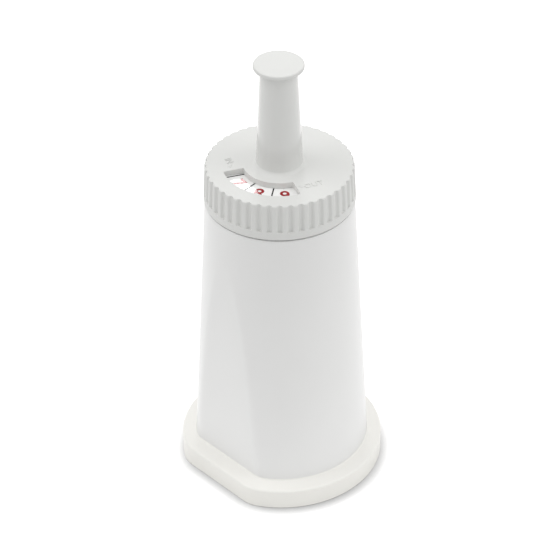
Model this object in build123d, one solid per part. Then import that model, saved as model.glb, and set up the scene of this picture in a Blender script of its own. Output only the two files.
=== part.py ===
from build123d import *
import os
from math import acos, degrees, radians, tan

# A drop-in water filter cartridge for a coffee machine's tank, in millimetres.
# Water enters by the slots in the floor, rises between the body and an inner tube, turns down
# through the filter bed in the tube and leaves by the outlet socket in the middle of the floor.
# The dial on top shows the month the cartridge went in and the month it comes out.
# +Z runs up the dial's axis and -Y is the flat side. The origin is the centre of the outlet's
# mouth, on the plane that the cartridge stands on.

# Body: a tapered bell with one flat side
body_height = 80.5  # floor to the shoulder under the dial
body_draft = 3.0  # taper of the wall, degrees
shoulder_inset = 0.2  # how far the shoulder is set in under the dial's edge
flat_depth = 3.6  # how far the flat is set in from the round wall at the floor
wall = 1.5  # moulded wall of the body, neck and deck
shoulder_edge = 0.3  # chamfer of the shoulder

# Month dial with its pull stem
cap_radius = 18.75  # at the rim
cap_height = 9.8  # lower edge to rim
cap_draft = 2.6  # taper of the skirt, degrees
cap_wall = 1.85  # at the rim
roof = 1.0  # roof at the rim
crown = 0.6  # rise of the roof from rim to stem
rim_edge = 0.4  # chamfer of the rim
skirt_edge = 0.3  # chamfer of the lower edge
dial_gap = 0.4  # open line between the dial and the shoulder
pull_height = 29.3  # rim of the dial to the top of the knob
stem_foot_radius = 5.92
stem_top_radius = 4.65
stem_cove = 1.0  # rounding at the foot of the stem
stem_wall = 1.6  # the stem is cored out from below
knob_radius = 6.35
knob_thickness = 1.0
knob_edge = 0.4  # rounding of the knob's upper edge
knob_cove = 0.4  # rounding under the knob

# Grip flutes round the dial
flute_count = 45
flute_start = -43.4  # direction of one flute, degrees
flute_depth = 0.6
flute_radius = 0.7
flute_rise = 2.2  # plain band below the flutes

# Window over the month numbers
window_rim = 4.35  # roof left between the window and the dial's edge
window_width = 5.2
window_sweep = 96.4  # degrees
window_middle = -70.7  # direction of the window's middle with the dial as set, degrees
window_corner = 0.5

# Snap fit of the dial on the neck
running_gap = 0.2  # free play of the dial, round the neck and above the number ring
snap_depth = 0.5  # how far the ridge stands out from the neck
snap_height = 1.3  # height of the dial's bead, and of the ridge above it
bead_rise = 0.4  # lower edge of the dial to its bead

# Month ring
ring_thickness = 0.4
ring_margin = 1.1  # ring hidden on each side of the window

# Soft foot
foot_overhang = 3.36  # how far it stands out from the round wall at the floor
flat_overhang = 4.03  # the same at the flat
foot_height = 6.1
foot_edge = 1.2  # rounding of its upper edge
foot_sole_edge = 0.4  # chamfer of its lower edge
foot_corner = 8.0  # rounding of the corners of the flat
lip_height = 1.6  # soft lip that runs up the body
lip_width = 1.6  # width of the lip at its foot
lip_edge = 0.2  # thickness of the lip at its top
lip_corner = 4.0  # rounding of the lip's corners
foot_wall = 1.4  # soft wall outside the flange that it grips
sole_thickness = 0.8  # soft lip under the floor
sole_width = 5.2  # width of the standing face

# Floor and flange
flange_thickness = 1.6
floor_thickness = 2.0
weld_lip = 1.0  # thickness of the lip that enters the body
weld_height = 2.0
fit = 0.1  # clearance between pieces that are pushed or welded together

# Outlet socket
outlet_radius = 5.0
outlet_depth = 8.0
outlet_wall = 3.2
notch_height = 2.0  # open crown above the socket, where the water comes in from the sides
notch_width = 3.0
notch_count = 4
seal_depth = 1.7  # lip to back of the ring seal
seal_height = 1.8
seal_proud = 0.1  # how far its lip stands out into the socket
seal_rise = 3.6  # mouth to the middle of the ring seal

# Inlet slots in the floor
inlet_width = 2.2
inlet_sweep = 24.0  # degrees
inlet_web = 7.0  # web between slots, degrees

# Tube and bed
tube_gap = 1.05  # water way between the tube and the narrow end of the body
tube_wall = 1.2
collar_wall = 1.2  # collar on the floor, inside the tube
overflow_gap = 3.8  # water way above the lid
lid_thickness = 1.2
lid_plug = 1.5  # how far the lid reaches into the tube
strainer_thickness = 1.4
strainer_slots = 12
strainer_slot_width = 1.0
strainer_hub = 4.0  # closed middle of a strainer, radius
strainer_rim = 2.0  # closed rim of a strainer
fleece_thickness = 2.0

# Places that follow from the sizes above
cap_foot = body_height + dial_gap
cap_rim = cap_foot + cap_height
roof_under = cap_rim - roof
knob_top = cap_rim + pull_height
cap_bore = cap_radius - cap_wall
ridge_radius = cap_bore - running_gap
neck_radius = ridge_radius - snap_depth
bead_radius = neck_radius + running_gap
bead_foot = cap_foot + bead_rise
bead_top = bead_foot + snap_height
ridge_foot = bead_top + running_gap
ring_top = roof_under - running_gap
deck_top = ring_top - ring_thickness
window_outer = cap_radius - window_rim
window_inner = window_outer - window_width

cap_foot_radius = cap_radius + cap_height * tan(radians(cap_draft))
shoulder_radius = cap_foot_radius - shoulder_inset
floor_radius = shoulder_radius + body_height * tan(radians(body_draft))
body_flat = floor_radius - flat_depth
floor_top = sole_thickness + floor_thickness
flange_top = floor_top + flange_thickness
flange_width = foot_overhang - foot_wall
flange_corner = foot_corner - foot_wall
foot_radius = floor_radius + foot_overhang
foot_flat = body_flat + flat_overhang

outlet_outer = outlet_radius + outlet_wall
seal_lip = outlet_radius - seal_proud
seal_back = seal_lip + seal_depth
collar_top = outlet_depth + notch_height
tube_radius = shoulder_radius - wall - tube_gap
tube_bore = tube_radius - tube_wall
plug_radius = tube_bore - fit
tube_top = body_height - wall - overflow_gap - lid_thickness
bed_foot = collar_top + strainer_thickness + fleece_thickness
bed_top = tube_top - lid_plug - fleece_thickness

on_base = (Align.CENTER, Align.CENTER, Align.MIN)
reach = 2 * foot_radius  # larger than the part, for cutting half spaces
through = 1.0  # how far a cut runs past the faces it opens


def disc(radius, low, high):
    return Pos(0, 0, low) * Cylinder(radius, high - low, align=on_base)


def tube(outer, inner, low, high):
    return disc(outer, low, high) - disc(inner, low, high)


def turned(outline, corners):
    # A solid of revolution from a closed half section of (radius, height) points.
    section = make_face(FilletPolyline(*outline, radius=corners, close=True))
    return revolve(Plane.XZ * section, Axis.Z)


def d_face(radius, flat, corner):
    # A disc with a flat at -Y, its two corners rounded.
    half_plane = Pos(0, reach / 2 - flat) * Rectangle(reach, reach)
    return fillet((Circle(radius) & half_plane).vertices(), corner)


def d_block(radius, flat, corner, low, high):
    return Pos(0, 0, low) * extrude(d_face(radius, flat, corner), high - low)


def ring_sector(inner, outer, middle, sweep, corner):
    # A stretch of a flat ring, with rounded corners.
    start = middle - sweep / 2
    inner_arc = CenterArc((0, 0), inner, start, sweep)
    outer_arc = CenterArc((0, 0), outer, start, sweep)
    ends = [Line(inner_arc @ end, outer_arc @ end) for end in (0, 1)]
    face = make_face([inner_arc, outer_arc, *ends])
    return fillet(face.vertices(), corner)


def body_radius(height):
    return shoulder_radius + (body_height - height) * tan(radians(body_draft))


def body_block(low, high, grow):
    # The tapered body between two heights, its skin moved out by grow.
    cone = Cone(body_radius(low) + grow, body_radius(high) + grow, high - low, align=on_base)
    half_space = Pos(0, reach / 2 - body_flat - grow) * Box(reach, reach, high - low, align=on_base)
    return Pos(0, 0, low) * (cone & half_space)


def make_housing():
    bell = body_block(floor_top, body_height, 0)
    shoulder = bell.edges().filter_by(GeomType.CIRCLE).sort_by(Axis.Z)[-1]
    bell = chamfer(shoulder, shoulder_edge)
    bell += d_block(floor_radius + flange_width, body_flat + flange_width, flange_corner,
                    floor_top, flange_top)
    neck = [
        (0, body_height - wall),
        (neck_radius, body_height - wall),
        (neck_radius, ridge_foot),
        (ridge_radius, ridge_foot),
        (neck_radius, ridge_foot + snap_height),
        (neck_radius, deck_top),
        (0, deck_top),
    ]
    bell += turned(neck, 0)
    bell -= body_block(floor_top, body_height - wall, -wall)
    return bell - disc(neck_radius - wall, body_height - 2 * wall, deck_top - wall)


def skirt_radius(height):
    return cap_radius + (cap_rim - height) * tan(radians(cap_draft))


def make_dial_cap():
    knob_under = knob_top - knob_thickness
    roof_rise = cap_rim + crown
    # Radius, height and corner rounding, from the bead round the outside to the core of the stem.
    section = [
        (bead_radius, bead_foot, 0),
        (cap_bore, cap_foot, 0),
        (cap_foot_radius - skirt_edge, cap_foot, 0),
        (skirt_radius(cap_foot + skirt_edge), cap_foot + skirt_edge, 0),
        (skirt_radius(cap_rim - rim_edge), cap_rim - rim_edge, 0),
        (cap_radius - rim_edge, cap_rim, 0),
        (stem_foot_radius, roof_rise, stem_cove),
        (stem_top_radius, knob_under, knob_cove),
        (knob_radius, knob_under, 0),
        (knob_radius, knob_top, knob_edge),
        (0, knob_top, 0),
        (0, knob_under - stem_wall, 0),
        (stem_top_radius - stem_wall, knob_under - stem_wall, 0),
        (stem_foot_radius - stem_wall, roof_under, 0),
        (cap_bore, roof_under, 0),
        (cap_bore, bead_top, 0),
        (bead_radius, bead_top, 0),
    ]
    cap = turned([(radius, height) for radius, height, corner in section],
                 [corner for radius, height, corner in section])
    flute_foot = cap_foot + flute_rise
    flute = Cylinder(flute_radius, cap_height, align=on_base)
    flute = Pos(0, 0, flute_foot) * Rot(0, -cap_draft, 0) * flute
    circle = PolarLocations(skirt_radius(flute_foot) + flute_radius - flute_depth, flute_count, flute_start)
    cap -= [place * flute for place in circle]
    window = ring_sector(window_inner, window_outer, window_middle, window_sweep, window_corner)
    return cap - Pos(0, 0, roof_under - through) * extrude(window, roof + crown + 2 * through)


def make_month_ring():
    return tube(window_outer + ring_margin, window_inner - ring_margin, deck_top, ring_top)


def make_base_seal():
    foot = d_block(foot_radius, foot_flat, foot_corner, 0, foot_height)
    foot = fillet(foot.edges().group_by(Axis.Z)[-1], foot_edge)
    foot = chamfer(foot.edges().group_by(Axis.Z)[0], foot_sole_edge)
    lip_top = foot_height + lip_height
    lip_levels = [(flange_top, lip_width), (foot_height, lip_width), (lip_top, lip_edge + fit)]
    lip_faces = [Pos(0, 0, height) * d_face(body_radius(height) + grow, body_flat + grow, lip_corner)
                 for height, grow in lip_levels]
    foot += loft(lip_faces, ruled=True)
    foot -= body_block(flange_top, lip_top, fit)
    grip = flange_width + fit
    foot -= d_block(floor_radius + grip, body_flat + grip, flange_corner + fit, sole_thickness, flange_top)
    sole_corner = foot_corner - sole_width / 2
    return foot - d_block(foot_radius - sole_width, foot_flat - sole_width, sole_corner,
                          -through, sole_thickness)


def make_base_plate():
    plate = d_block(floor_radius + flange_width, body_flat + flange_width, flange_corner,
                    sole_thickness, floor_top)
    # Lip that enters the body and is welded to its wall
    weld_top = floor_top + weld_height
    lip_skin = -wall - fit
    plate += (body_block(floor_top, weld_top, lip_skin)
              - body_block(floor_top, weld_top, lip_skin - weld_lip))
    plate += tube(plug_radius, plug_radius - collar_wall, floor_top, collar_top)
    plate += disc(outlet_outer, 0, collar_top)
    plate -= disc(outlet_radius, -through, outlet_depth)
    gland = seal_height / 2 + fit
    plate -= disc(seal_back + fit, seal_rise - gland, seal_rise + gland)
    plate -= disc(outlet_radius + outlet_wall / 2, outlet_depth, collar_top)
    notch = Box(2 * outlet_wall, notch_width, notch_height, align=on_base)
    notch = Pos(outlet_outer, 0, outlet_depth) * notch
    plate -= [Rot(0, 0, turn * 360 / notch_count) * notch for turn in range(notch_count)]
    # Inlet slots all round the tube, apart from where the flat comes close to it.
    inlet_inner = tube_radius + fit
    inlet_outer = inlet_inner + inlet_width
    flat_inside = body_flat - wall - weld_lip - fit
    closed = 2 * degrees(acos(min(1, flat_inside / inlet_outer))) + inlet_web
    pitch = inlet_sweep + inlet_web
    count = int((360 - closed) / pitch)
    for number in range(count):
        middle = 90 + (number - (count - 1) / 2) * pitch
        slot = ring_sector(inlet_inner, inlet_outer, middle, inlet_sweep, inlet_width / 4)
        plate -= Pos(0, 0, sole_thickness - through) * extrude(slot, floor_thickness + 2 * through)
    return plate


def make_outlet_seal():
    # A ring with a wedge-shaped lip towards the spigot.
    low = seal_rise - seal_height / 2
    high = seal_rise + seal_height / 2
    root = (seal_lip + seal_back) / 2
    section = [(seal_back, low), (seal_back, high), (root, high), (seal_lip, seal_rise), (root, low)]
    return turned(section, 0)


def make_bed_tube():
    return tube(tube_radius, tube_bore, floor_top, tube_top)


def cut_slots(plate, low, high):
    # Radial slots between the hub and the rim of a strainer.
    length = plug_radius - strainer_rim - strainer_hub
    slot = Pos(strainer_hub, 0, low - through) * Box(
        length, strainer_slot_width, high - low + 2 * through, align=(Align.MIN, Align.CENTER, Align.MIN))
    return plate - [Rot(0, 0, turn * 360 / strainer_slots) * slot for turn in range(strainer_slots)]


def make_tube_lid():
    low = tube_top - lid_plug
    high = tube_top + lid_thickness
    lid = disc(plug_radius, low, high) + disc(tube_radius, tube_top, high)
    return cut_slots(lid, low, high)


def make_lower_strainer():
    high = collar_top + strainer_thickness
    return cut_slots(disc(plug_radius, collar_top, high), collar_top, high)


def make_upper_fleece():
    return disc(plug_radius, bed_top, bed_top + fleece_thickness)


def make_filter_bed():
    return disc(plug_radius, bed_foot, bed_top)


def make_lower_fleece():
    return disc(plug_radius, bed_foot - fleece_thickness, bed_foot)


pieces = {
    "housing": make_housing,
    "dial_cap": make_dial_cap,
    "month_ring": make_month_ring,
    "base_seal": make_base_seal,
    "base_plate": make_base_plate,
    "outlet_seal": make_outlet_seal,
    "bed_tube": make_bed_tube,
    "tube_lid": make_tube_lid,
    "upper_fleece": make_upper_fleece,
    "filter_bed": make_filter_bed,
    "lower_fleece": make_lower_fleece,
    "lower_strainer": make_lower_strainer,
}

os.makedirs("parts", exist_ok=True)
for node, make in pieces.items():
    export_step(make(), f"parts/{node}.step")
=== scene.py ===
import bpy
import bmesh
from math import acos, atan2, cos, degrees, pi, radians, sin, sqrt, tan
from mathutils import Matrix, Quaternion, Vector


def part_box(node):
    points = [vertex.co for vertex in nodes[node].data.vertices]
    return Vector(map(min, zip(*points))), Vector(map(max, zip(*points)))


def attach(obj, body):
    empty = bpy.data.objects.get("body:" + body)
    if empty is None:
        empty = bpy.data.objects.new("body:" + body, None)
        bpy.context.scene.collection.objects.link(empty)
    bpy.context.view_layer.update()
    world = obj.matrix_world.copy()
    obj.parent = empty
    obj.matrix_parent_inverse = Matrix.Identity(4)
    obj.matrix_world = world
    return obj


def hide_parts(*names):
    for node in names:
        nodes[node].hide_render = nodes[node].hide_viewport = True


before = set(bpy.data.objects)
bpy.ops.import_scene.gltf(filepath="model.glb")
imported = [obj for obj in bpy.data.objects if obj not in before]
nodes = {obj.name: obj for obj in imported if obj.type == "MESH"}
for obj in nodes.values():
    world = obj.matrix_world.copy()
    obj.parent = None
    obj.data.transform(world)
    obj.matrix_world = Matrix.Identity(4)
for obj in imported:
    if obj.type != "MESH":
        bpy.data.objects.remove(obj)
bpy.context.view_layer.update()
mm = 0.001  # sizes below are in millimetres
weld = 0.002  # points closer than this become one


# Small helpers for working by hand in edit mode

def activate(piece):
    bpy.ops.object.select_all(action='DESELECT')
    piece.select_set(True)
    bpy.context.view_layer.objects.active = piece


def openEdit(piece, kind='VERT'):
    activate(piece)
    bpy.ops.object.mode_set(mode='EDIT')
    bpy.ops.mesh.select_mode(type=kind)


def closeEdit():
    bpy.ops.object.mode_set(mode='OBJECT')


def pick(piece, part, test):
    # selects the verts, edges or faces that pass the test
    bpy.ops.mesh.select_all(action='DESELECT')
    mesh = bmesh.from_edit_mesh(piece.data)
    for item in getattr(mesh, part):
        if test(item):
            item.select_set(True)
    mesh.select_flush_mode()
    bmesh.update_edit_mesh(piece.data)


def settle(piece):
    # puts the object back to the origin, with its place in the mesh
    activate(piece)
    bpy.ops.object.transform_apply(location=True, rotation=True, scale=True)


def startPoint(name, place):
    # one loose vertex to draw an outline from, left in edit mode
    bpy.ops.object.select_all(action='DESELECT')
    bpy.ops.mesh.primitive_plane_add(size=mm)
    piece = bpy.context.object
    piece.name = name
    bpy.ops.object.mode_set(mode='EDIT')
    bpy.ops.mesh.select_mode(type='VERT')
    bpy.ops.mesh.merge(type='CENTER')
    bpy.ops.transform.translate(value=place)
    return piece


def drawLine(step):
    bpy.ops.mesh.extrude_vertices_move(TRANSFORM_OT_translate={"value": step})


def drawArc(centre, axis, sweep, steps):
    # spin counts clockwise, so the sweep is turned round
    bpy.ops.mesh.spin(steps=steps, angle=-sweep, center=centre, axis=axis)


def extrudeUp(rise):
    bpy.ops.mesh.extrude_region_move(TRANSFORM_OT_translate={"value": (0, 0, rise)})


def weldAll():
    bpy.ops.mesh.select_all(action='SELECT')
    bpy.ops.mesh.remove_doubles(threshold=weld * mm)


def turnRound(steps):
    # turns the drawn section round the upright axis and closes the seam
    weldAll()
    bpy.ops.mesh.spin(steps=steps, angle=2 * pi, center=(0, 0, 0), axis=(0, 0, 1))
    weldAll()


def carve(piece, tool):
    # cuts the tool out of the piece and takes the tool away
    activate(piece)
    bpy.ops.object.modifier_add(type='BOOLEAN')
    cut = piece.modifiers[-1]
    cut.operation = 'DIFFERENCE'
    cut.object = tool
    cut.solver = 'EXACT'
    bpy.ops.object.modifier_apply(modifier=cut.name)
    bpy.data.objects.remove(tool)


def smoothOver(piece, angle):
    activate(piece)
    bpy.ops.object.shade_smooth_by_angle(angle=radians(angle))
    bpy.ops.object.modifier_add(type='WEIGHTED_NORMAL')
    piece.modifiers[-1].keep_sharp = True
    bpy.ops.object.modifier_apply(modifier=piece.modifiers[-1].name)


# Camera at the photo's angle

viewFit = {"azimuth": 46.6, "elevation": 36.754, "distance": 652.8, "aim": 54.62,
           "lens": 163.07, "shift": -0.00096, "roll": -0.5, "clipStart": 0.01, "clipEnd": 50}

turn = radians(viewFit["azimuth"])
tilt = radians(viewFit["elevation"])
towardsViewer = Vector((sin(turn) * cos(tilt), -cos(turn) * cos(tilt), sin(tilt)))
aimPoint = Vector((0, 0, viewFit["aim"] * mm))
bpy.ops.object.camera_add(location=aimPoint + towardsViewer * viewFit["distance"] * mm)
camera = bpy.context.object
camera.rotation_mode = 'QUATERNION'
roll = Quaternion((0, 0, 1), radians(viewFit["roll"]))
camera.rotation_quaternion = (-towardsViewer).to_track_quat('-Z', 'Y') @ roll
camera.data.lens = viewFit["lens"]
camera.data.shift_x = viewFit["shift"]
camera.data.clip_start = viewFit["clipStart"]
camera.data.clip_end = viewFit["clipEnd"]
bpy.context.scene.camera = camera
bpy.context.scene.view_settings.view_transform = 'Standard'
print("camera placed")


# Small helpers for node trees

def addMath(tree, operation, *sources):
    # a maths node fed by outputs of other nodes or by plain values
    node = tree.nodes.new('ShaderNodeMath')
    node.operation = operation
    for socket, source in zip(node.inputs, sources):
        if isinstance(source, (int, float)):
            socket.default_value = source
        else:
            tree.links.new(source, socket)
    return node.outputs[0]


def addRange(tree, source, start, end):
    # goes from 0 to 1 while the source goes from start to end
    node = tree.nodes.new('ShaderNodeMapRange')
    node.inputs['From Min'].default_value = start
    node.inputs['From Max'].default_value = end
    tree.links.new(source, node.inputs['Value'])
    return node.outputs['Result']


# White floor, white surroundings and soft lamps

def seenDirectly(tree):
    # 1 for camera, glossy and transmission rays
    path = tree.nodes.new('ShaderNodeLightPath')
    first = addMath(tree, 'MAXIMUM', path.outputs['Is Camera Ray'], path.outputs['Is Glossy Ray'])
    return addMath(tree, 'MAXIMUM', first, path.outputs['Is Transmission Ray'])


# near, far, bright and dim set the painted pool of light on the sheet
floorLook = {"size": 6.0, "drop": 0.05, "colour": (0.87, 0.87, 0.87, 1), "lift": 0.55,
             "contact": 5.0, "lean": (-0.34, 0.2, 1), "near": 0.08, "far": 0.35, "bright": 0.93,
             "dim": 0.35}

bpy.ops.object.select_all(action='DESELECT')
bpy.ops.mesh.primitive_plane_add(size=floorLook["size"], location=(0, 0, -floorLook["drop"] * mm))
floor = bpy.context.object
floor.name = "floor"
floorPaper = bpy.data.materials.new("floorPaper")
floorPaper.use_nodes = True
tree = floorPaper.node_tree
tree.nodes.remove(tree.nodes['Principled BSDF'])
paper = tree.nodes.new('ShaderNodeBsdfDiffuse')
# painted light: the sheet's colour, seen by light bouncing onto the object, is brighter close to the
# object, a painted pool of light
place = tree.nodes.new('ShaderNodeTexCoord')
reach = tree.nodes.new('ShaderNodeVectorMath')
reach.operation = 'LENGTH'
paintedLightPool = tree.nodes.new('ShaderNodeMapRange')
paintedLightPool.inputs['From Min'].default_value = floorLook["near"]
paintedLightPool.inputs['From Max'].default_value = floorLook["far"]
paintedLightPool.inputs['To Min'].default_value = floorLook["bright"]
paintedLightPool.inputs['To Max'].default_value = floorLook["dim"]
tree.links.new(place.outputs['Object'], reach.inputs[0])
tree.links.new(reach.outputs['Value'], paintedLightPool.inputs['Value'])
tree.links.new(paintedLightPool.outputs['Result'], paper.inputs['Color'])
paintedContactShade = tree.nodes.new('ShaderNodeAmbientOcclusion')  # painted contact shadow: the occlusion right beside the foot darkens the floor's colour and its glow
paintedContactShade.inputs['Color'].default_value = floorLook["colour"]
paintedContactShade.inputs['Distance'].default_value = floorLook["contact"] * mm
lean = tree.nodes.new('ShaderNodeCombineXYZ')  # deepest in front, as the light comes from behind
for axis, value in zip("XYZ", Vector(floorLook["lean"]).normalized()):
    lean.inputs[axis].default_value = value
tree.links.new(lean.outputs[0], paintedContactShade.inputs['Normal'])
shaded = tree.nodes.new('ShaderNodeBsdfDiffuse')
tree.links.new(paintedContactShade.outputs['Color'], shaded.inputs['Color'])
glow = tree.nodes.new('ShaderNodeEmission')  # lifts the paper to white, shadow kept
lift = addMath(tree, 'MULTIPLY', paintedContactShade.outputs['AO'], floorLook["lift"])
tree.links.new(lift, glow.inputs['Strength'])
lifted = tree.nodes.new('ShaderNodeAddShader')
tree.links.new(shaded.outputs[0], lifted.inputs[0])
tree.links.new(glow.outputs[0], lifted.inputs[1])
shown = tree.nodes.new('ShaderNodeMixShader')
tree.links.new(seenDirectly(tree), shown.inputs[0])
tree.links.new(paper.outputs[0], shown.inputs[1])
tree.links.new(lifted.outputs[0], shown.inputs[2])
tree.links.new(shown.outputs[0], tree.nodes['Material Output'].inputs['Surface'])
floor.data.materials.append(floorPaper)

roomLight = {"ambient": 0.77}

world = bpy.data.worlds.new("whiteRoom")
bpy.context.scene.world = world
world.use_nodes = True
tree = world.node_tree
ambient = tree.nodes['Background']
ambient.inputs['Color'].default_value = (1, 1, 1, 1)
ambient.inputs['Strength'].default_value = roomLight["ambient"]
white = tree.nodes.new('ShaderNodeBackground')
white.inputs['Color'].default_value = (1, 1, 1, 1)
white.inputs['Strength'].default_value = 1.0
blend = tree.nodes.new('ShaderNodeMixShader')
tree.links.new(seenDirectly(tree), blend.inputs[0])
tree.links.new(ambient.outputs[0], blend.inputs[1])
tree.links.new(white.outputs[0], blend.inputs[2])
tree.links.new(blend.outputs[0], tree.nodes['World Output'].inputs['Surface'])

# direction round the object and height in degrees, distance and size in metres, power in watts
softLamps = {
    "backLamp": {"round": 136.6, "height": 38, "distance": 1.2, "size": 0.22, "power": 1.3},
    "leftLamp": {"round": -135, "height": 50, "distance": 2.4, "size": 1.68, "power": 13.8},
    "rightLamp": {"round": 35, "height": 42, "distance": 2.4, "size": 1.68, "power": 12.7},
}
for name, lamp in softLamps.items():
    way, up = radians(lamp["round"]), radians(lamp["height"])
    outward = Vector((cos(way) * cos(up), sin(way) * cos(up), sin(up)))
    bpy.ops.object.light_add(type='AREA', location=aimPoint + outward * lamp["distance"])
    light = bpy.context.object
    light.name = name
    light.rotation_mode = 'QUATERNION'
    light.rotation_quaternion = (-outward).to_track_quat('-Z', 'Y')
    light.data.size = lamp["size"]
    light.data.energy = lamp["power"]
print("floor and lamps ready")


# Finishes

grainSize = {"fineDetail": 3, "cloudDetail": 4, "low": 0.3, "high": 0.7}


def makeGrain():
    # fine moulded grain and a slow drift of tone, shared by every finish
    group = bpy.data.node_groups.new("mouldedGrain", 'ShaderNodeTree')
    for name in ("Fine Scale", "Cloud Scale"):
        group.interface.new_socket(name, in_out='INPUT', socket_type='NodeSocketFloat')
    for name in ("Height", "Cloud"):
        group.interface.new_socket(name, in_out='OUTPUT', socket_type='NodeSocketFloat')
    entry = group.nodes.new('NodeGroupInput')
    leave = group.nodes.new('NodeGroupOutput')
    place = group.nodes.new('ShaderNodeTexCoord')
    fine = group.nodes.new('ShaderNodeTexNoise')
    fine.inputs['Detail'].default_value = grainSize["fineDetail"]
    cloud = group.nodes.new('ShaderNodeTexNoise')
    cloud.inputs['Detail'].default_value = grainSize["cloudDetail"]
    spread = addRange(group, cloud.outputs[0], grainSize["low"], grainSize["high"])
    group.links.new(place.outputs['Object'], fine.inputs['Vector'])
    group.links.new(place.outputs['Object'], cloud.inputs['Vector'])
    group.links.new(entry.outputs['Fine Scale'], fine.inputs['Scale'])
    group.links.new(entry.outputs['Cloud Scale'], cloud.inputs['Scale'])
    group.links.new(fine.outputs[0], leave.inputs['Height'])
    group.links.new(spread, leave.inputs['Cloud'])
    return group


mouldedGrain = makeGrain()


def makeFinish(name, look):
    finish = bpy.data.materials.new(name)
    finish.use_nodes = True
    tree = finish.node_tree
    shader = tree.nodes['Principled BSDF']
    grain = tree.nodes.new('ShaderNodeGroup')
    grain.name = "grain"
    grain.node_tree = mouldedGrain
    grain.inputs['Fine Scale'].default_value = look["fine"]
    grain.inputs['Cloud Scale'].default_value = look["cloud"]
    tint = tree.nodes.new('ShaderNodeMix')
    tint.name = "tint"
    tint.data_type = 'RGBA'
    tint.inputs['A'].default_value = (*look["dark"], 1)
    tint.inputs['B'].default_value = (*look["light"], 1)
    polish = tree.nodes.new('ShaderNodeMapRange')
    polish.name = "polish"
    polish.inputs['To Min'].default_value = look["rough"][0]
    polish.inputs['To Max'].default_value = look["rough"][1]
    bump = tree.nodes.new('ShaderNodeBump')
    bump.name = "bump"
    bump.inputs['Strength'].default_value = look["bump"]
    bump.inputs['Distance'].default_value = look["depth"] * mm
    tree.links.new(grain.outputs['Cloud'], tint.inputs['Factor'])
    tree.links.new(tint.outputs['Result'], shader.inputs['Base Color'])
    tree.links.new(grain.outputs['Cloud'], polish.inputs['Value'])
    tree.links.new(polish.outputs['Result'], shader.inputs['Roughness'])
    tree.links.new(grain.outputs['Height'], bump.inputs['Height'])
    tree.links.new(bump.outputs['Normal'], shader.inputs['Normal'])
    return finish


def dress(piece, finish):
    piece.data.materials.clear()
    piece.data.materials.append(finish)


# Sizes of the dial, which the body's shoulder follows

dialSize = {"capHeight": 9.8, "radius": 18.75, "draft": 2.6, "bore": 16.9, "bead": 16.4, "beadFoot": 0.4,
            "beadHeight": 1.3, "roof": 1.14, "crown": 0.6, "rimEdge": 0.45, "skirtEdge": 0.3,
            "stemFoot": 5.92, "stemTop": 4.65, "cove": 1.0, "stemWall": 1.6, "knob": 6.35,
            "knobThickness": 1.0, "knobEdge": 0.4, "knobLowEdge": 0.15, "knobCove": 0.4, "arcSteps": 6,
            "steps": 540, "smooth": 40}


def skirtRadius(height):
    return dialSize["radius"] + (dialRim - height) * tan(radians(dialSize["draft"]))


# Body: a tapered bell with one flat side

bodySize = {"height": 80.5, "draft": 3.0, "inset": 0.2, "flatDepth": 3.6, "wall": 1.5, "shoulderEdge": 0.3,
            "edgeMiddle": 0.3, "flatCorner": 5.0, "neck": 16.2, "ridge": 16.7, "ridgeFoot": 83.2,
            "ridgeHeight": 1.3, "flangeWidth": 1.96, "flangeCorner": 6.6, "flangeTop": 4.4, "levels": 40,
            "innerLevels": 12, "steps": 576, "smooth": 25}
bodyLook = {"dark": (0.765, 0.765, 0.757), "light": (0.785, 0.785, 0.777), "rough": (0.34, 0.42),
            "fine": 2600, "cloud": 45, "bump": 0.05, "depth": 0.02}

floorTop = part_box("housing")[0].z / mm
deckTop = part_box("housing")[1].z / mm
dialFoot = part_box("dial_cap")[0].z / mm
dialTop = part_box("dial_cap")[1].z / mm
dialRim = dialFoot + dialSize["capHeight"]
bodySlope = tan(radians(bodySize["draft"]))
shoulderRadius = skirtRadius(dialFoot) - bodySize["inset"]
bodyFlat = shoulderRadius + bodySize["height"] * bodySlope - bodySize["flatDepth"]
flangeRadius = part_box("housing")[1].x / mm
flangeFlat = bodyFlat + bodySize["flangeWidth"]
noFlat = 99.0  # rows of the section that stay round


def bodyRadius(height):
    return shoulderRadius + (bodySize["height"] - height) * bodySlope


def bodyRow(height, grow, corner):
    # the body's outline at a height, moved out by grow
    return (bodyRadius(height) + grow, height, bodyFlat + grow, corner)


def flatReach(angle, radius, flat, corner):
    # from the axis to the outline, at an angle from the middle of the flat
    if radius <= flat:
        return radius
    inner = radius - corner
    lean = acos((flat - corner) / inner)
    if angle >= lean:
        return radius
    if angle <= atan2(inner * sin(lean), flat):
        return flat / cos(angle)
    swing = angle - lean
    return inner * cos(swing) + sqrt(corner ** 2 - (inner * sin(swing)) ** 2)


def turnWithFlat(name, rows):
    # turns a closed half section round the axis, then sets in the flat, row by row
    piece = startPoint(name, (rows[0][0] * mm, 0, rows[0][1] * mm))
    for before, after in zip(rows, rows[1:] + rows[:1]):
        drawLine(((after[0] - before[0]) * mm, 0, (after[1] - before[1]) * mm))
    turnRound(bodySize["steps"])
    bpy.ops.mesh.delete_loose(use_verts=True, use_edges=True, use_faces=False)
    bpy.ops.mesh.select_all(action='SELECT')
    bpy.ops.mesh.normals_make_consistent(inside=False)
    mesh = bmesh.from_edit_mesh(piece.data)
    nearest = {}
    for vertex in mesh.verts:
        at = (round(vertex.co.xy.length / mm, 3), round(vertex.co.z / mm, 3))
        if at not in nearest:
            nearest[at] = min(rows, key=lambda row: abs(row[0] - at[0]) + abs(row[1] - at[1]))
        radius, height, flat, corner = nearest[at]
        if radius > flat:
            pull = flatReach(abs(atan2(vertex.co.x, -vertex.co.y)), radius, flat, corner) / radius
            vertex.co.x *= pull
            vertex.co.y *= pull
    bmesh.update_edit_mesh(piece.data)
    closeEdit()
    return piece


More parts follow.
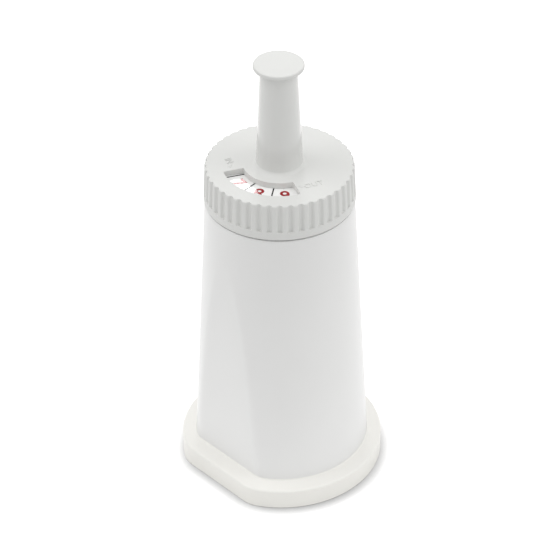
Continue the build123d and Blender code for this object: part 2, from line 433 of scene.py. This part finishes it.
def makeBody():
    size = bodySize
    top, wall = size["height"], size["wall"]
    inside = top - wall
    coreHigh = deckTop - wall
    skinTop = top - size["shoulderEdge"]
    rows = [(flangeRadius, floorTop, flangeFlat, size["flangeCorner"]),
            (flangeRadius, size["flangeTop"], flangeFlat, size["flangeCorner"])]
    for level in range(size["levels"] + 1):
        height = size["flangeTop"] + (skinTop - size["flangeTop"]) * level / size["levels"]
        rows.append(bodyRow(height, 0, size["flatCorner"]))
    bend = size["edgeMiddle"] * size["shoulderEdge"]
    rows += [(shoulderRadius - bend, top - bend, noFlat, 0),
             (shoulderRadius - size["shoulderEdge"], top, noFlat, 0),
             (size["neck"], top, noFlat, 0),
             (size["neck"], size["ridgeFoot"], noFlat, 0),
             (size["ridge"], size["ridgeFoot"], noFlat, 0),
             (size["neck"], size["ridgeFoot"] + size["ridgeHeight"], noFlat, 0),
             (size["neck"], deckTop, noFlat, 0),
             (0, deckTop, noFlat, 0),
             (0, coreHigh, noFlat, 0),
             (size["neck"] - wall, coreHigh, noFlat, 0),
             (size["neck"] - wall, inside, noFlat, 0)]
    for level in range(size["innerLevels"] + 1):
        height = inside + (floorTop - inside) * level / size["innerLevels"]
        rows.append(bodyRow(height, -wall, size["flatCorner"] - wall))
    body = turnWithFlat("bodyShell", rows)
    smoothOver(body, size["smooth"])
    return body


body = makeBody()
dress(body, makeFinish("bodyWhite", bodyLook))
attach(body, "cartridge")
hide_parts("housing")
print("body made")


# Soft foot that grips the body's flange, with a lip that runs up the body

footSize = {"corner": 8.0, "edge": 0.7, "edgeFoot": 4.91, "edgeSteps": 8, "fall": 14, "lipFoot": 6.4,
            "fillet": 0.4, "filletSteps": 6, "feather": 0.06, "lipTop": 6.76, "lipFit": 0.02,
            "soleEdge": 0.1, "soleSteps": 4, "soleThickness": 0.8, "soleWidth": 5.2, "fit": 0.1,
            "smooth": 35}
# top, topFrom and topFull set the painted light on the foot's upper side: a paler tint from that height up
footLook = {"dark": (0.80, 0.79, 0.75), "light": (0.82, 0.812, 0.775), "rough": (0.34, 0.42),
            "fine": 1800, "cloud": 70, "bump": 0.08, "depth": 0.03,
            "top": (0.865, 0.857, 0.82), "topFrom": 5.1, "topFull": 5.6}


def makeFoot():
    size = footSize
    low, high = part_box("base_seal")
    radius, flat = high.x / mm, -low.y / mm
    edge, soleEdge, fit, fillet = size["edge"], size["soleEdge"], size["fit"], size["fillet"]
    fall = radians(size["fall"])

    def outerRow(inset, at):
        return (radius - inset, at, flat - inset, size["corner"] - inset)

    sole = size["soleWidth"]
    soleInner = (radius - sole, flat - sole, size["corner"] - sole / 2)
    rows = [(soleInner[0], 0, *soleInner[1:])]
    for step in range(size["soleSteps"] + 1):
        swing = pi / 2 * step / size["soleSteps"]
        rows.append(outerRow(soleEdge * (1 - sin(swing)), soleEdge * (1 - cos(swing))))
    for step in range(size["edgeSteps"] + 1):
        swing = (pi / 2 - fall) * step / size["edgeSteps"]
        rows.append(outerRow(edge * (1 - cos(swing)), size["edgeFoot"] + edge * sin(swing)))
    # the top slopes up to the body and ends in a thin lip against its wall
    middle = size["lipFoot"] + fillet * (cos(fall) - (1 - sin(fall)) * tan(fall))
    for step in range(size["filletSteps"] + 1):
        swing = (pi / 2 - fall) * (1 - step / size["filletSteps"])
        grow = size["feather"] + fillet * (1 - cos(swing))
        rows.append(bodyRow(middle - fillet * sin(swing), grow, bodySize["flatCorner"]))
    rows.append(bodyRow(size["lipTop"], size["lipFit"], bodySize["flatCorner"]))
    rows.append(bodyRow(bodySize["flangeTop"], size["lipFit"], bodySize["flatCorner"]))
    groove = (flangeRadius + fit, flangeFlat + fit, bodySize["flangeCorner"] + fit)
    rows.append((groove[0], bodySize["flangeTop"], *groove[1:]))
    rows.append((groove[0], size["soleThickness"], *groove[1:]))
    rows.append((soleInner[0], size["soleThickness"], *soleInner[1:]))
    foot = turnWithFlat("softFoot", rows)
    smoothOver(foot, size["smooth"])
    return foot


def lightenTop(finish):
    # painted light: the upper side is painted a paler tint than the rest, standing in for the light that
    # falls on it from above
    tree = finish.node_tree
    place = tree.nodes.new('ShaderNodeTexCoord')
    parts = tree.nodes.new('ShaderNodeSeparateXYZ')
    tree.links.new(place.outputs['Object'], parts.inputs[0])
    rise = addRange(tree, parts.outputs['Z'], footLook["topFrom"] * mm, footLook["topFull"] * mm)
    paintedTopLight = tree.nodes.new('ShaderNodeMix')
    paintedTopLight.data_type = 'RGBA'
    paintedTopLight.inputs['B'].default_value = (*footLook["top"], 1)
    tree.links.new(rise, paintedTopLight.inputs['Factor'])
    tree.links.new(tree.nodes["tint"].outputs['Result'], paintedTopLight.inputs['A'])
    tree.links.new(paintedTopLight.outputs['Result'], tree.nodes['Principled BSDF'].inputs['Base Color'])


foot = makeFoot()
softWarmWhite = makeFinish("softWarmWhite", footLook)
# painted light on the foot's upper side
lightenTop(softWarmWhite)
dress(foot, softWarmWhite)
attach(foot, "cartridge")
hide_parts("base_seal")
print("soft foot made")


# Month dial with its pull stem

fluteSize = {"count": 45, "start": -43.4, "depth": 0.6, "radius": 0.7, "rise": 2.2, "ledge": 0.06,
             "columns": 4, "reach": 1.0}
windowSize = {"inner": 9.2, "outer": 14.4, "middle": -70.7, "sweep": 96.4, "corner": 0.4, "steps": 32,
              "cornerSteps": 4, "endGap": 0.1, "under": 0.5, "over": 2.0}
dialLook = {"dark": (0.69, 0.694, 0.676), "light": (0.71, 0.714, 0.696), "rough": (0.5, 0.58),
            "fine": 2200, "cloud": 60, "bump": 0.1, "depth": 0.03}
stemLook = {"outer": 7.2, "inner": 6.6, "from": 0.9, "full": 1.6, "knobFrom": 0.5, "knobFull": 1.0,
            "rough": 0.1}

roofOuter = dialSize["radius"] - dialSize["rimEdge"]
roofFall = dialSize["crown"] / (roofOuter - dialSize["stemFoot"])


def roofHeight(radius):
    return dialRim + roofFall * (roofOuter - radius)


def drawSection(name, corners):
    # a closed half section in the XZ plane, from radius, height and rounding of each corner
    upright = Vector((0, 1, 0))
    points = [Vector((corner[0], 0, corner[1])) * mm for corner in corners]
    piece = startPoint(name, points[0])
    at = points[0]
    for number in range(1, len(points)):
        corner = points[number]
        rounding = corners[number][2] * mm
        if rounding:
            before = (corner - points[number - 1]).normalized()
            after = (points[number + 1] - corner).normalized()
            bend = before.angle(after)
            side = 1 if before.cross(after).y > 0 else -1
            reach = rounding * tan(bend / 2)
            drawLine(corner - before * reach - at)
            middle = corner - before * reach + upright.cross(before) * rounding * side
            drawArc(middle, upright, bend * side, dialSize["arcSteps"])
            at = corner + after * reach
        else:
            drawLine(corner - at)
            at = corner
    drawLine(points[0] - at)
    return piece


def makeDial():
    size = dialSize
    knobUnder = dialTop - size["knobThickness"]
    roofUnder = dialRim - size["roof"]
    beadFoot = dialFoot + size["beadFoot"]
    beadTop = beadFoot + size["beadHeight"]
    coreTop = knobUnder - size["stemWall"]
    fluteFoot = dialFoot + fluteSize["rise"]
    ledge = fluteFoot + fluteSize["ledge"]
    dial = drawSection("monthDial", [
        (size["bead"], beadTop, 0),
        (size["bead"], beadFoot, 0),
        (size["bore"], dialFoot, 0),
        (skirtRadius(dialFoot), dialFoot, size["skirtEdge"]),
        (skirtRadius(fluteFoot), fluteFoot, 0),
        (skirtRadius(ledge), ledge, 0),
        (size["radius"], dialRim, size["rimEdge"]),
        (size["stemFoot"], roofHeight(size["stemFoot"]), size["cove"]),
        (size["stemTop"], knobUnder, size["knobCove"]),
        (size["knob"], knobUnder, size["knobLowEdge"]),
        (size["knob"], dialTop, size["knobEdge"]),
        (0, dialTop, 0),
        (0, coreTop, 0),
        (size["stemTop"] - size["stemWall"], coreTop, 0),
        (size["stemFoot"] - size["stemWall"], roofUnder, 0),
        (size["bore"], roofUnder, 0),
        (size["bore"], beadTop, 0),
    ])
    turnRound(size["steps"])
    bpy.ops.mesh.normals_make_consistent(inside=False)
    cutFlutes(dial, fluteFoot)
    closeEdit()
    dial.rotation_euler.z = radians(fluteSize["start"])
    settle(dial)
    carve(dial, windowBlock(roofUnder - windowSize["under"], dialRim + windowSize["over"]))
    smoothOver(dial, size["smooth"])
    return dial


def cutFlutes(dial, fluteFoot):
    # columns of vertices are pushed in, ring by ring, to a round groove
    pitch = 360 / fluteSize["count"]
    column = 360 / dialSize["steps"]
    inset = fluteSize["radius"] - fluteSize["depth"]
    above = (fluteFoot + fluteSize["ledge"] / 2) * mm
    mesh = bmesh.from_edit_mesh(dial.data)
    nearSkirt = (dialSize["radius"] - fluteSize["reach"]) * mm
    outside = [v for v in mesh.verts if v.co.z > above and v.co.xy.length > nearSkirt]
    rings = sorted({(round(v.co.xy.length / mm, 3), round(v.co.z / mm, 3)) for v in outside})

    def away(vertex):
        # columns between a vertex and the middle of its flute
        angle = degrees(atan2(vertex.co.y, vertex.co.x))
        return round(abs((angle + pitch / 2) % pitch - pitch / 2) / column)

    for number in range(fluteSize["columns"]):
        across = dialSize["radius"] * radians(number * column)
        depth = sqrt(fluteSize["radius"] ** 2 - across ** 2) - inset
        for radius, height in rings:
            pull = (skirtRadius(height) - depth) / radius
            if pull >= 1:
                continue

            def inRing(vertex):
                return (abs(vertex.co.z / mm - height) < weld
                        and abs(vertex.co.xy.length / mm - radius) < weld and away(vertex) == number)

            pick(dial, "verts", inRing)
            bpy.ops.transform.resize(value=(pull, pull, 1), center_override=(0, 0, 0))


def windowBlock(low, high):
    # a stretch of a flat ring with rounded corners
    block = startPoint("windowBlock", (windowSize["inner"] * mm, 0, low * mm))
    drawLine(((windowSize["outer"] - windowSize["inner"]) * mm, 0, 0))
    bpy.ops.mesh.select_all(action='SELECT')
    drawArc((0, 0, 0), (0, 0, 1), radians(windowSize["sweep"]), windowSize["steps"])
    bpy.ops.mesh.select_all(action='SELECT')
    extrudeUp((high - low) * mm)
    bpy.ops.mesh.select_all(action='SELECT')
    bpy.ops.mesh.normals_make_consistent(inside=False)
    bpy.ops.mesh.select_mode(type='EDGE')
    sweep = windowSize["sweep"]

    def atCorner(edge):
        first, second = edge.verts
        angle = degrees(atan2(first.co.y, first.co.x))
        atEnd = min(abs(angle), abs(angle - sweep)) < windowSize["endGap"]
        return atEnd and (first.co.xy - second.co.xy).length < weld * mm

    pick(block, "edges", atCorner)
    bpy.ops.mesh.bevel(offset=windowSize["corner"] * mm, segments=windowSize["cornerSteps"],
                       profile=0.5, clamp_overlap=False)
    closeEdit()
    block.rotation_euler.z = radians(windowSize["middle"] - sweep / 2)
    settle(block)
    return block


def polishStem(finish):
    # the stem is polished, the cap keeps its grain: radius and height make the mask
    tree = finish.node_tree
    place = tree.nodes.new('ShaderNodeTexCoord')
    parts = tree.nodes.new('ShaderNodeSeparateXYZ')
    across = tree.nodes.new('ShaderNodeVectorMath')
    across.operation = 'MULTIPLY'
    across.inputs[1].default_value = (1, 1, 0)
    reach = tree.nodes.new('ShaderNodeVectorMath')
    reach.operation = 'LENGTH'
    link = tree.links.new
    link(place.outputs['Object'], parts.inputs[0])
    link(place.outputs['Object'], across.inputs[0])
    link(across.outputs[0], reach.inputs[0])
    near = addRange(tree, reach.outputs['Value'], stemLook["outer"] * mm, stemLook["inner"] * mm)
    high = addRange(tree, parts.outputs['Z'], (dialRim + stemLook["from"]) * mm,
                    (dialRim + stemLook["full"]) * mm)
    below = addRange(tree, parts.outputs['Z'], (dialTop - stemLook["knobFrom"]) * mm,
                     (dialTop - stemLook["knobFull"]) * mm)
    stem = addMath(tree, 'MULTIPLY', addMath(tree, 'MULTIPLY', near, high), below)
    gloss = tree.nodes.new('ShaderNodeMix')
    gloss.inputs['B'].default_value = stemLook["rough"]
    link(stem, gloss.inputs['Factor'])
    link(tree.nodes["polish"].outputs['Result'], gloss.inputs['A'])
    link(gloss.outputs['Result'], tree.nodes['Principled BSDF'].inputs['Roughness'])
    plain = addMath(tree, 'SUBTRACT', 1, stem)
    grainLeft = addMath(tree, 'MULTIPLY', tree.nodes["grain"].outputs['Height'], plain)
    link(grainLeft, tree.nodes["bump"].inputs['Height'])


dial = makeDial()
dialGrey = makeFinish("dialGrey", dialLook)
polishStem(dialGrey)
dress(dial, dialGrey)
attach(dial, "dial")
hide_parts("dial_cap")
print("dial made")


# Numbers and lines printed on the month ring, legends raised on the dial

textSize = {"start": 1.4, "weld": 0.0005}


def makeText(name, words, height, thickness, weight):
    bpy.ops.object.select_all(action='DESELECT')
    bpy.ops.object.text_add()
    piece = bpy.context.object
    piece.name = name
    piece.data.body = words
    piece.data.align_x = 'CENTER'
    piece.data.align_y = 'CENTER'
    piece.data.extrude = thickness * mm / 2
    piece.data.offset = weight * mm
    piece.data.size = height * mm * textSize["start"]
    activate(piece)
    bpy.ops.object.convert(target='MESH')
    piece = bpy.context.object
    heights = [vertex.co.y for vertex in piece.data.vertices]
    middle = (max(heights) + min(heights)) / 2
    grow = height * mm / (max(heights) - min(heights))
    openEdit(piece)
    bpy.ops.mesh.select_all(action='SELECT')
    bpy.ops.mesh.remove_doubles(threshold=textSize["weld"] * mm)
    bpy.ops.transform.translate(value=(0, -middle, 0))
    bpy.ops.transform.resize(value=(grow, grow, 1), center_override=(0, 0, 0))
    closeEdit()
    return piece


def setOnRing(piece, angle, radius, height, facing=None):
    # its top towards the axis, as it reads from outside, unless it faces another way
    way = radians(angle)
    piece.location = (radius * mm * cos(way), radius * mm * sin(way), height * mm)
    piece.rotation_euler.z = radians(angle if facing is None else facing) + pi / 2
    settle(piece)


def leanOnRoof(piece, angle, radius):
    # follows the fall of the roof at that place
    way = radians(angle)
    fall = atan2(roofFall, 1)
    axis = Vector((-sin(way), cos(way), 0))
    centre = Vector((radius * cos(way), radius * sin(way), roofHeight(radius))) * mm
    openEdit(piece)
    mesh = bmesh.from_edit_mesh(piece.data)
    bmesh.ops.rotate(mesh, cent=centre, matrix=Quaternion(axis, fall).to_matrix(), verts=mesh.verts)
    bmesh.update_edit_mesh(piece.data)
    closeEdit()


def joinUp(pieces, name):
    activate(pieces[0])
    for piece in pieces:
        piece.select_set(True)
    bpy.ops.object.join()
    pieces[0].name = name
    return pieces[0]


ringLook = {"dark": (0.9, 0.9, 0.89), "light": (0.93, 0.93, 0.92), "rough": (0.1, 0.14),
            "fine": 2400, "cloud": 90, "bump": 0.02, "depth": 0.01}
# lines of the three months that the window shows, the other nine months share the rest of the ring
monthSize = {"count": 12, "shown": (-116.2, -85.2, -52.6, -20.6), "window": 7, "ahead": 0.6}
numberSize = {"height": 3.8, "radius": 12.1, "thickness": 0.03, "weight": 0.11}
numberLook = {"dark": (0.29, 0.006, 0.01), "light": (0.37, 0.01, 0.015), "rough": (0.1, 0.14),
              "fine": 3000, "cloud": 500, "bump": 0.02, "depth": 0.01}
lineSize = {"inner": 8.6, "outer": 15.1, "width": 0.34, "thickness": 0.03, "cornerShare": 0.25,
            "cornerSteps": 3}
lineLook = {"dark": (0.006, 0.006, 0.006), "light": (0.014, 0.014, 0.014), "rough": (0.1, 0.14),
            "fine": 3000, "cloud": 500, "bump": 0.02, "depth": 0.01}

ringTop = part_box("month_ring")[1].z / mm
dress(nodes["month_ring"], makeFinish("ringWhite", ringLook))

months = monthSize["count"]
marks = list(monthSize["shown"])
hidden = (360 + marks[0] - marks[-1]) / (months + 1 - len(marks))
while len(marks) <= months:
    marks.append(marks[-1] + hidden)

numbers = []
for place in range(months):
    month = (monthSize["window"] + place - 1) % months + 1
    number = makeText(f"month{month}", str(month), numberSize["height"], numberSize["thickness"],
                      numberSize["weight"])
    angle = (marks[place] + marks[place + 1]) / 2 - monthSize["ahead"]
    setOnRing(number, angle, numberSize["radius"], ringTop + numberSize["thickness"] / 2)
    numbers.append(number)
monthNumbers = joinUp(numbers, "monthNumbers")
dress(monthNumbers, makeFinish("printRed", numberLook))
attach(monthNumbers, "cartridge")

lines = []
for mark in marks[:-1]:
    bpy.ops.object.select_all(action='DESELECT')
    bpy.ops.mesh.primitive_plane_add(size=1)
    line = bpy.context.object
    openEdit(line)
    bpy.ops.mesh.select_all(action='SELECT')
    length = lineSize["outer"] - lineSize["inner"]
    bpy.ops.transform.resize(value=(lineSize["width"] * mm, length * mm, 1))
    bpy.ops.mesh.bevel(offset=lineSize["width"] * mm * lineSize["cornerShare"],
                       segments=lineSize["cornerSteps"], affect='VERTICES')
    bpy.ops.mesh.select_all(action='SELECT')
    extrudeUp(lineSize["thickness"] * mm)
    bpy.ops.mesh.select_all(action='SELECT')
    bpy.ops.mesh.normals_make_consistent(inside=False)
    closeEdit()
    setOnRing(line, mark, (lineSize["outer"] + lineSize["inner"]) / 2, ringTop)
    lines.append(line)
monthLines = joinUp(lines, "monthLines")
dress(monthLines, makeFinish("printBlack", lineLook))
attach(monthLines, "cartridge")
print("month ring printed")

# direction, radius and facing of each legend on the dial, and the way an arrow points
legendSize = {"height": 1.6, "proud": 0.15, "sunk": 0.25, "weight": -0.02, "arrow": 0.75,
              "arrowEdge": 0.05, "arrowSteps": 2, "smooth": 30}
legends = {"IN": (-138.7, 12.65, -112.4), "OUT": (-2.3, 12.67, -20.5)}
arrows = {"arrowIn": (-127.7, 12.44, -112.4, 0), "arrowOut": (-16.9, 11.6, -20.5, 180)}

thick = legendSize["proud"] + legendSize["sunk"]
raised = []
for words, (angle, radius, facing) in legends.items():
    legend = makeText(f"legend{words}", words, legendSize["height"], thick, legendSize["weight"])
    setOnRing(legend, angle, radius, roofHeight(radius) + legendSize["proud"] - thick / 2, facing)
    leanOnRoof(legend, angle, radius)
    raised.append(legend)
for name, (angle, radius, facing, about) in arrows.items():
    bpy.ops.object.select_all(action='DESELECT')
    bpy.ops.mesh.primitive_cylinder_add(vertices=3, radius=legendSize["arrow"] * mm, depth=thick * mm)
    arrow = bpy.context.object
    arrow.name = name
    arrow.rotation_euler.z = radians(about - 90)
    settle(arrow)
    openEdit(arrow, 'EDGE')
    bpy.ops.mesh.select_all(action='SELECT')
    bpy.ops.mesh.bevel(offset=legendSize["arrowEdge"] * mm, segments=legendSize["arrowSteps"])
    closeEdit()
    setOnRing(arrow, angle, radius, roofHeight(radius) + legendSize["proud"] - thick / 2, facing)
    leanOnRoof(arrow, angle, radius)
    raised.append(arrow)
dialLegends = joinUp(raised, "dialLegends")
smoothOver(dialLegends, legendSize["smooth"])
dress(dialLegends, dialGrey)
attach(dialLegends, "dial")
print("legends raised")


# Pieces inside, seen only from below and through the slots

plateLook = {"dark": (0.755, 0.755, 0.745), "light": (0.785, 0.785, 0.775), "rough": (0.42, 0.52),
             "fine": 2200, "cloud": 60, "bump": 0.07, "depth": 0.03}
innerLook = {"dark": (0.74, 0.74, 0.73), "light": (0.77, 0.77, 0.76), "rough": (0.45, 0.55),
             "fine": 2000, "cloud": 50, "bump": 0.08, "depth": 0.03}
sealLook = {"dark": (0.022, 0.022, 0.022), "light": (0.035, 0.035, 0.034), "rough": (0.5, 0.65),
            "fine": 2500, "cloud": 200, "bump": 0.12, "depth": 0.03}
fleeceLook = {"dark": (0.70, 0.70, 0.67), "light": (0.86, 0.86, 0.84), "rough": (0.85, 0.95),
              "fine": 3500, "cloud": 900, "bump": 0.7, "depth": 0.15}
grainsLook = {"dark": (0.03, 0.026, 0.022), "light": (0.33, 0.19, 0.09), "rough": (0.55, 0.8),
              "fine": 1800, "cloud": 1400, "bump": 0.8, "depth": 0.3}

dress(nodes["base_plate"], makeFinish("floorWhite", plateLook))
dress(nodes["outlet_seal"], makeFinish("sealBlack", sealLook))
innerWhite = makeFinish("innerWhite", innerLook)
for name in ("bed_tube", "tube_lid", "lower_strainer"):
    dress(nodes[name], innerWhite)
needledFleece = makeFinish("needledFleece", fleeceLook)
for name in ("upper_fleece", "lower_fleece"):
    dress(nodes[name], needledFleece)
dress(nodes["filter_bed"], makeFinish("filterGrains", grainsLook))
print("inner pieces dressed")
